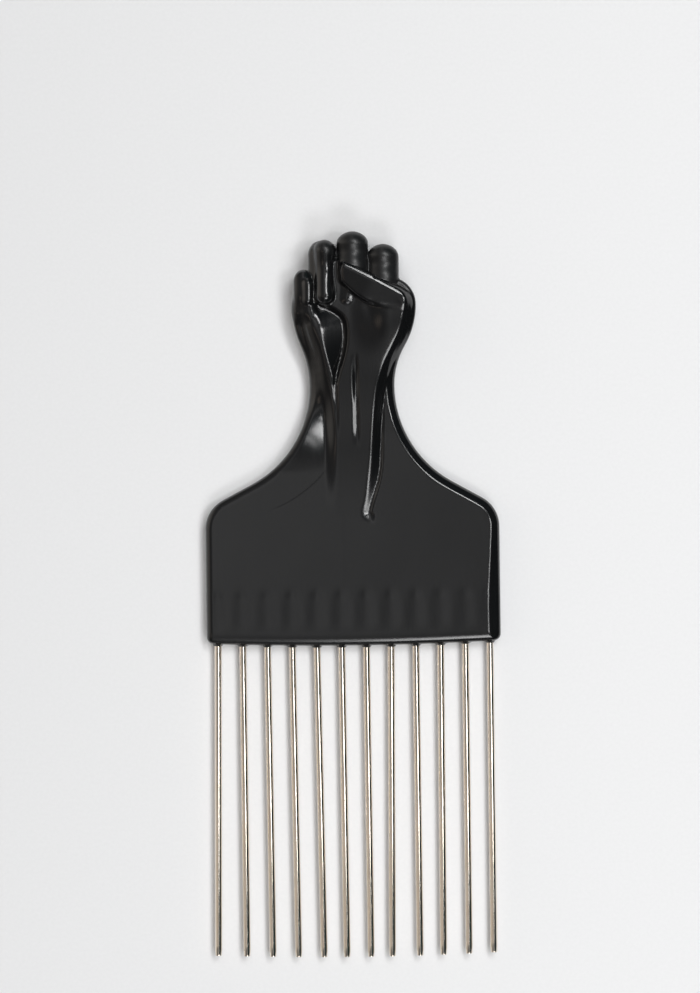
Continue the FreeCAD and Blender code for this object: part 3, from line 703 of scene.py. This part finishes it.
add(lambda x, y, z: taper(x, y, z, TIP_PAD, TIP_BACK), PAD_LOW, PAD_HIGH, PAD_SOFT)
print(f"tip of the middle finger at {TIP_PAD[:2]}, below the thumb")

# %% [markdown]
# ## Flash collars
# Where a wire leaves the bar, a little plastic has crept out along it and left a low collar. Each is a
# short cone round its wire, joined to the bar with a small fillet.

# %% Collars
COLLAR_HEIGHT = 0.5
COLLAR_FOOT, COLLAR_LIP = 1.2, 1.0
COLLAR_DEPTH, COLLAR_SOFT = 1.0, 0.25
COLLAR_LOW, COLLAR_HIGH = (-2, -1.5, 0), (2, 3, 5)  # box of a collar, X from its wire
TOOTH_Z = FACE / 2


def collar_form(place, root):
    """A short cone round a wire, from inside the bar out to its lip."""
    def form(x, y, z):
        out = np.hypot(x - place, z - TOOTH_Z)
        share = np.clip((root - y) / COLLAR_HEIGHT, 0, 1)
        wall = out - (COLLAR_FOOT + (COLLAR_LIP - COLLAR_FOOT) * share)
        return np.maximum(wall, np.maximum(root - COLLAR_HEIGHT - y, y - root - COLLAR_DEPTH) + 0 * out)
    return form


for place in tooth_places:
    root = base_radius - math.sqrt(base_radius ** 2 - place ** 2)
    add(collar_form(place, root), np.add(COLLAR_LOW, (place, 0, 0)), np.add(COLLAR_HIGH, (place, 0, 0)),
        COLLAR_SOFT)
print(f"{len(tooth_places)} collars, {COLLAR_HEIGHT} mm high")

# %% [markdown]
# ## From the field to a mesh
# Blender ships the OpenVDB library, whose mesher turns a field into quads. It works in grid steps, so
# its points are then moved to the millimetre places of the uneven grid.

# %% Mesh the handle
BAND = FINE * 3  # how far from the surface the field is kept


def mesh_object(name, vertices, faces):
    """A smooth-shaded mesh object in frame metres."""
    mesh = bpy.data.meshes.new(name)
    mesh.from_pydata(vertices, [], faces)
    mesh.polygons.foreach_set("use_smooth", [True] * len(mesh.polygons))
    mesh.update()
    piece = bpy.data.objects.new(name, mesh)
    bpy.context.scene.collection.objects.link(piece)
    return piece


field = np.maximum(field, -GRID_Z[None, None, :])
volume = openvdb.FloatGrid(BAND)
volume.copyFromArray(np.clip(field, -BAND, BAND))
steps, quads = volume.convertToQuads(0.0)
points = [np.interp(steps[:, i], np.arange(len(line)), line)
          for i, line in enumerate((GRID_X, GRID_Y, GRID_Z))]
handle = mesh_object("fist_handle", to_frame(np.stack(points, axis=1)).tolist(), quads.tolist())
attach(handle, "root")
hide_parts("handle")
print(f"handle mesh: {len(handle.data.vertices)} points, {len(handle.data.polygons)} quads")

# %% [markdown]
# The field's own slope is the direction that the surface faces, and it is smoother than what the quads
# give. So it is read off at every point of the mesh and kept as the shading normal.

# %% Shade the handle by the field


def between_places(values, at):
    """Values of the grid at places between its points, given in grid steps."""
    start = np.clip(np.floor(at).astype(int), 0, np.array(values.shape) - 2)
    part = at - start
    total = np.zeros(len(at), np.float32)
    for corner in np.ndindex(2, 2, 2):
        share = np.prod(np.where(corner, part, 1 - part), axis=1)
        total += share * values[tuple((start + corner).T)]
    return total


slopes = np.gradient(np.clip(field, -1, 1), GRID_X, GRID_Y, GRID_Z)
normals = np.stack([between_places(slope, steps) for slope in slopes], axis=1)
normals /= np.linalg.norm(normals, axis=1, keepdims=True) + 1e-9
handle.data.normals_split_custom_set_from_vertices(normals.tolist())
print(len(normals), "normals taken from the field")

# %% [markdown]
# ## Colours and nodes
# Colours are written as sRGB hex values, as a paint chart gives them, and turned to the linear values
# that Blender's shaders use. One small function adds a node with its settings and links. Noise, a change
# of range and arithmetic come back in the materials, so each has a short form.

# %% Material helpers


def colour(code):
    """An sRGB hex value as a linear RGBA colour."""
    parts = [int(code[i:i + 2], 16) / 255 for i in (1, 3, 5)]
    linear = [v / 12.92 if v <= 0.04045 else ((v + 0.055) / 1.055) ** 2.4 for v in parts]
    return (*linear, 1.0)


def node(tree, kind, settings=None, **inputs):
    """Add a node. Settings are its properties. Inputs, by name or as i0, i1, are values or outputs."""
    made = tree.nodes.new(kind)
    for name, value in (settings or {}).items():
        setattr(made, name, value)
    for name, value in inputs.items():
        numbered = name[0] == "i" and name[1:].isdigit()
        socket = made.inputs[int(name[1:]) if numbered else name.replace("_", " ")]
        if isinstance(value, bpy.types.NodeSocket):
            tree.links.new(value, socket)
        else:
            socket.default_value = value
    return made


def new_material(name):
    """A material with an empty node tree, and that tree."""
    material = bpy.data.materials.new(name)
    material.use_nodes = True
    material.node_tree.nodes.clear()
    return material, material.node_tree


def noise(tree, place, size, detail, **inputs):
    """Noise from 0 to 1, with a grain of a given size in mm."""
    return node(tree, "ShaderNodeTexNoise", Vector=place, Scale=1 / (size * MM), Detail=detail,
                **inputs).outputs["Fac"]


def remap(tree, value, start, end, low=0.0, high=1.0, kind="LINEAR"):
    """What goes from low to high while a value goes from start to end."""
    return node(tree, "ShaderNodeMapRange", {"interpolation_type": kind}, Value=value, From_Min=start,
                From_Max=end, To_Min=low, To_Max=high).outputs["Result"]


def maths(tree, operation, *values):
    """One step of arithmetic on values or outputs."""
    inputs = {f"i{i}": value for i, value in enumerate(values)}
    return node(tree, "ShaderNodeMath", {"operation": operation}, **inputs).outputs["Value"]


print(f"#808080 is {colour('#808080')[0]:.3f} in linear light")

# %% [markdown]
# ## Black polystyrene
# The handle is injection-moulded polystyrene, black all through. It left a polished mould, so it is
# glossy, but the plastic shrank a little unevenly as it cooled: long soft waves bend the reflections in
# the flat face. Handling has left fine scuffs. The deep pockets of the mould between the fingers are
# hard to polish, so past the ridge of the thumb the gloss is softer. Where two streams of hot plastic
# met, on the left of the bar, there is a faint flow line, drawn here as a stretch of a circle.

# %% Black polystyrene
WAVE_SIZE, WAVE_HEIGHT = 16.0, 0.05
GRAIN_SIZE, GRAIN_HEIGHT = 0.5, 0.0012  # the real grain is finer, and is drawn this coarse to show
SCUFF_SIZE, SCUFF_STRETCH, SCUFF_TURN, SCUFF_SHARE = 0.6, 0.12, 0.6, 0.05
BAR_ROUGH, FINGER_ROUGH = 0.14, 0.34
DULL_START, DULL_END = 0.6, 1.6  # past the thumb's ridge
FLOW_MIDDLE, FLOW_RADIUS = (-30.0, 61.0), 31.2
FLOW_WIDTH, FLOW_DEPTH = 0.5, 0.02
FLOW_LEFT, FLOW_TOP, FLOW_FADE = -20.0, 42.0, 3.0


def flow_line(tree, place):
    """Height of the flow line: -1 in its middle, 0 beside it and past its ends."""
    reach = node(tree, "ShaderNodeVectorMath", {"operation": "DISTANCE"}, i0=place,
                 i1=to_frame((*FLOW_MIDDLE, FACE)))
    aside = maths(tree, "ABSOLUTE", maths(tree, "SUBTRACT", reach.outputs["Value"], FLOW_RADIUS * MM))
    notch = remap(tree, aside, 0.0, FLOW_WIDTH / 2 * MM, -1.0, 0.0, kind="SMOOTHSTEP")
    parts = node(tree, "ShaderNodeSeparateXYZ", Vector=place)
    left = remap(tree, parts.outputs["X"], FLOW_LEFT * MM, (FLOW_LEFT + FLOW_FADE) * MM)
    top_y = ROOT_Y + FLOW_TOP
    top = remap(tree, parts.outputs["Y"], top_y * MM, (top_y - FLOW_FADE) * MM)
    return maths(tree, "MULTIPLY", notch, maths(tree, "MULTIPLY", left, top))


def uneven_polish(tree, place):
    """Roughness: glossy on the bar and the palm, softer past the thumb's ridge, with fine scuffs."""
    past_thumb = node(tree, "ShaderNodeVectorMath", {"operation": "DOT_PRODUCT"}, i0=place,
                      i1=(-ridge_y, ridge_x, 0))
    ridge_at = (-ridge_y * RIDGE_START[0] + ridge_x * (RIDGE_START[1] + ROOT_Y)) * MM
    dull = remap(tree, past_thumb.outputs["Value"], ridge_at + DULL_START * MM, ridge_at + DULL_END * MM,
                 BAR_ROUGH, FINGER_ROUGH)
    stretched = node(tree, "ShaderNodeMapping", Vector=place, Rotation=(0, 0, SCUFF_TURN),
                     Scale=(1.0, SCUFF_STRETCH, 1.0))
    scuff = noise(tree, stretched.outputs["Vector"], SCUFF_SIZE, 4.0)
    return maths(tree, "MULTIPLY_ADD", scuff, SCUFF_SHARE, dull)


def black_polystyrene():
    """Deep gloss with soft waves, a fine grain and uneven polish, so that no highlight is perfect."""
    material, tree = new_material("black_polystyrene")
    place = node(tree, "ShaderNodeTexCoord").outputs["Object"]
    wave = noise(tree, place, WAVE_SIZE, 1.0, Roughness=0.4)
    grain = noise(tree, place, GRAIN_SIZE, 2.0)
    tone = node(tree, "ShaderNodeMix", {"data_type": "RGBA"}, Factor=wave, A=colour("#0c0c0d"),
                B=colour("#111112"))
    wavy = node(tree, "ShaderNodeBump", Height=wave, Distance=WAVE_HEIGHT * MM, Strength=1.0)
    grained = node(tree, "ShaderNodeBump", Height=grain, Distance=GRAIN_HEIGHT * MM,
                   Normal=wavy.outputs["Normal"])
    lined = node(tree, "ShaderNodeBump", Height=flow_line(tree, place), Distance=FLOW_DEPTH * MM,
                 Normal=grained.outputs["Normal"])
    shader = node(tree, "ShaderNodeBsdfPrincipled", Base_Color=tone.outputs["Result"], IOR=1.59,
                  Roughness=uneven_polish(tree, place), Normal=lined.outputs["Normal"])
    node(tree, "ShaderNodeOutputMaterial", Surface=shader.outputs["BSDF"])
    return material


handle.data.materials.append(black_polystyrene())
print("handle finished in", handle.data.materials[0].name)

# %% [markdown]
# ## Teeth
# Each tooth is drawn wire, cut square and swaged to a blunt taper. The frame's own solid shows its
# facets at this distance, so a finer turned wire of the same size stands for it. On a real pick no two
# teeth are quite parallel: each wire leans a little, by up to 0.8 mm at its tip.

# %% Turn the wires
WIRE_SIDES = 48
SHANK_ROWS = 14
TIP_LENGTH = 1.4
TIP_RADIUS = 0.74
TIP_ROUND = 0.14
TIP_ANGLES = np.radians((22.5, 45, 67.5, 85))
TIP_SWELL = 0.01
SHANK_START = 1.0  # above the taper
ROOT_CHAMFER = 0.2
LEANS = [-0.8, 0.1, 0.4, 0.6, 0.8, 0.35, 0.2, -0.6, 0.1, -0.2, 0.0, 0.0]


def wire_profile(low_y, high_y, radius):
    """Rings of a wire as (radius, y), from its flat tip over the taper and the shank to the root's end."""
    tip_flat = TIP_RADIUS - TIP_ROUND
    rings = [(0.0, low_y), (tip_flat, low_y)]
    rings += [(tip_flat + TIP_ROUND * math.sin(a), low_y + TIP_ROUND - TIP_ROUND * math.cos(a))
              for a in TIP_ANGLES]
    rings += [(TIP_RADIUS + TIP_SWELL, low_y + TIP_ROUND * 2), (radius, low_y + TIP_LENGTH)]
    shank = np.linspace(low_y + TIP_LENGTH + SHANK_START, high_y - ROOT_CHAMFER, SHANK_ROWS)
    rings += [(radius, y) for y in shank]
    return rings + [(radius - ROOT_CHAMFER, high_y), (0.0, high_y)]


def turned_wire(name, node_name, lean):
    """A wire along Y as large as its node, whose tip is set off by its lean."""
    low, high = (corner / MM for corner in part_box(node_name))
    middle_x, middle_z = (low.x + high.x) / 2, (low.z + high.z) / 2
    profile = wire_profile(low.y, high.y, (high.x - low.x) / 2)
    vertices, faces = [], []
    for r, y in profile:
        for i in range(WIRE_SIDES):
            a = 2 * math.pi * i / WIRE_SIDES
            x = middle_x + lean * max(0, (ROOT_Y - y) / (ROOT_Y - low.y)) + r * math.cos(a)
            vertices.append((x * MM, y * MM, (middle_z + r * math.sin(a)) * MM))
    for row in range(len(profile) - 1):
        for i in range(WIRE_SIDES):
            j = (i + 1) % WIRE_SIDES
            a, b = row * WIRE_SIDES, (row + 1) * WIRE_SIDES
            faces.append((a + i, b + i, b + j, a + j))
    piece = mesh_object(name, vertices, faces)
    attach(piece, "root")
    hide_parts(node_name)
    return piece


wires = [turned_wire(name.replace("tooth", "wire"), name, lean) for name, lean in zip(tooth_names, LEANS)]
print(len(wires), "wires turned with", WIRE_SIDES, "sides")

# %% [markdown]
# ## Nickel-plated steel
# Nickel is a warm white metal. The wire was drawn through a die, which left fine lines along it, and the
# thin plating is a little yellower in places. Noise that is stretched along the wire gives the lines.

# %% Nickel-plated steel
DRAW_ACROSS, DRAW_ALONG = 0.12, 9.0  # real drawing lines are finer, and are drawn this coarse to show
STAIN_SIZE = 7.0
BRIGHT_ROUGH, DULL_ROUGH = 0.09, 0.15


def nickel_plated_steel():
    """A warm, bright metal whose highlight is broken into fine lines along the wire."""
    material, tree = new_material("nickel_plated_steel")
    place = node(tree, "ShaderNodeTexCoord").outputs["Object"]
    drawn = node(tree, "ShaderNodeMapping", Vector=place, Scale=(1.0, DRAW_ACROSS / DRAW_ALONG, 1.0))
    lines = noise(tree, drawn.outputs["Vector"], DRAW_ACROSS, 2.0)
    stain = noise(tree, place, STAIN_SIZE, 2.0)
    tint = node(tree, "ShaderNodeMix", {"data_type": "RGBA"}, Factor=stain, A=colour("#f3ece3"),
                B=colour("#e6d8c6"))
    polish = remap(tree, lines, 0.3, 0.7, BRIGHT_ROUGH, DULL_ROUGH)
    shader = node(tree, "ShaderNodeBsdfPrincipled", Base_Color=tint.outputs["Result"], Metallic=1.0,
                  Roughness=polish)
    node(tree, "ShaderNodeOutputMaterial", Surface=shader.outputs["BSDF"])
    return material


nickel = nickel_plated_steel()
for wire in wires:
    wire.data.materials.append(nickel)
print("teeth finished in", nickel.name)

# %% [markdown]
# ## Floor
# The pick lies on a large sheet of pale uncoated paper. It is matt, so that it takes the shadow without
# a reflection, and fine fibres keep it from looking like a flat colour.

# %% Floor
FLOOR_HALF = 3.0
FLOOR_DROP = 0.02
FIBRE_SIZE, FIBRE_HEIGHT = 0.8, 0.02  # real fibres are finer, and are drawn this coarse to show


def pale_paper():
    """A matt, nearly white sheet with a faint mottle of fibres."""
    material, tree = new_material("pale_paper")
    place = node(tree, "ShaderNodeTexCoord").outputs["Object"]
    fibres = noise(tree, place, FIBRE_SIZE, 3.0)
    tone = node(tree, "ShaderNodeMix", {"data_type": "RGBA"}, Factor=fibres, A=colour("#e4e4e5"),
                B=colour("#eaeaeb"))
    rough = node(tree, "ShaderNodeBump", Height=fibres, Distance=FIBRE_HEIGHT * MM, Strength=0.5)
    shader = node(tree, "ShaderNodeBsdfPrincipled", Base_Color=tone.outputs["Result"], Roughness=0.9,
                  Normal=rough.outputs["Normal"])
    node(tree, "ShaderNodeOutputMaterial", Surface=shader.outputs["BSDF"])
    return material


floor_corners = [(-FLOOR_HALF, -FLOOR_HALF, 0), (FLOOR_HALF, -FLOOR_HALF, 0), (FLOOR_HALF, FLOOR_HALF, 0),
                 (-FLOOR_HALF, FLOOR_HALF, 0)]
floor = mesh_object("floor", floor_corners, [(0, 1, 2, 3)])
floor.location.z = -FLOOR_DROP * MM
floor.data.materials.append(pale_paper())
print("floor laid with", floor.data.materials[0].name)

# %% [markdown]
# ## Lamps
# Black gloss shows little but what it mirrors, so the lamps are placed for their reflections, and none
# hangs where the flat bar would mirror it. Three windows on the right draw a white line along every edge
# that leans their way, one in front does the same for the toothed edge, and a dim warm one on the left
# gives the wires their tan side. A wide sun, which leaves no reflection, carries the plain light.

# %% Lamps
LAMPS = {
    # place above the pick in mm, turn in degrees, width and depth in mm, brightness, colour
    "window_top": ((212, 340, 700), 37, (120, 250), 16.0, "#ffffff"),
    "window_right": ((330, 55, 700), 0, (180, 74), 18.0, "#ffffff"),
    "window_low": ((255, -67, 700), 0, (150, 84), 9.0, "#ffffff"),
    "window_tips": ((-330, -128, 700), 0, (270, 86), 0.65, "#ffead6"),
    "glint_foot": ((170, -430, 700), 0, (320, 240), 8.0, "#ffffff"),
}
FILL_LIGHT = 1.15
FILL_SPREAD, FILL_TILT, FILL_TURN = (math.radians(degrees) for degrees in (45, 11, 25))

for name, (place, turn, (width, depth), brightness, tint) in LAMPS.items():
    lamp = bpy.data.lights.new(name, "AREA")
    lamp.shape = "RECTANGLE"
    lamp.size, lamp.size_y = width * MM, depth * MM
    lamp.energy = brightness * math.pi * lamp.size * lamp.size_y
    lamp.color = colour(tint)[:3]
    holder = bpy.data.objects.new(name, lamp)
    holder.location = to_frame(place)
    holder.rotation_euler = (0, 0, math.radians(turn))
    bpy.context.scene.collection.objects.link(holder)

fill = bpy.data.lights.new("fill_above", "SUN")
fill.energy = FILL_LIGHT
fill.angle = FILL_SPREAD
fill_holder = bpy.data.objects.new("fill_above", fill)
fill_holder.rotation_euler = (0, FILL_TILT, FILL_TURN)
fill_holder.visible_glossy = False
bpy.context.scene.collection.objects.link(fill_holder)
print(len(LAMPS), "lamps and a fill without glints")

# %% [markdown]
# ## Room
# The room is pale and warm on the left and dark on the right, with a soft bright band just left of the
# lens. The flat bar mirrors the edge of that band, which makes it charcoal rather than black, and what
# leans to the right mirrors the dark: the flanks and the right side of every wire. A colour ramp
# across the sky does it, and the front of the room is darker than the rest.

# %% Room
ROOM_STOPS = [
    # place from left (0) to right (1), then linear red, green and blue
    (0.0, (1.0, 0.93, 0.85)), (0.08, (0.8, 0.75, 0.69)), (0.16, (0.3, 0.28, 0.26)),
    (0.25, (0.17, 0.17, 0.17)), (0.35, (0.19, 0.19, 0.19)), (0.41, (0.27, 0.27, 0.27)),
    (0.44, (0.44, 0.44, 0.44)), (0.46, (0.80, 0.80, 0.80)), (0.48, (0.90, 0.90, 0.90)),
    (0.497, (0.70, 0.70, 0.70)), (0.512, (0.42, 0.42, 0.42)), (0.53, (0.28, 0.28, 0.28)),
    (0.56, (0.12, 0.12, 0.12)), (0.63, (0.08, 0.14, 0.15)), (0.72, (0.02, 0.035, 0.04)),
    (1.0, (0.02, 0.03, 0.03)),
]
FRONT_SHARE = 0.35
FRONT_START, FRONT_END = 0.12, -0.35

world = bpy.data.worlds.new("studio")
bpy.context.scene.world = world
world.use_nodes = True
room = world.node_tree
room.nodes.clear()
look = node(room, "ShaderNodeTexCoord")
look_parts = node(room, "ShaderNodeSeparateXYZ", Vector=look.outputs["Generated"])
sky = node(room, "ShaderNodeValToRGB", Fac=remap(room, look_parts.outputs["X"], -1.0, 1.0))
front_dark = remap(room, look_parts.outputs["Y"], FRONT_END, FRONT_START, FRONT_SHARE, 1.0)
background = node(room, "ShaderNodeBackground", Color=sky.outputs["Color"], Strength=front_dark)
node(room, "ShaderNodeOutputWorld", Surface=background.outputs["Background"])
ramp = sky.color_ramp.elements
for i, (place, shade) in enumerate(ROOM_STOPS):
    stop = ramp[0] if i == 0 else ramp[-1] if place == 1.0 else ramp.new(place)
    stop.position, stop.color = place, (*shade, 1)
bpy.context.scene.view_settings.view_transform = "Standard"
print("room with", len(ramp), "stops, darker to the right")
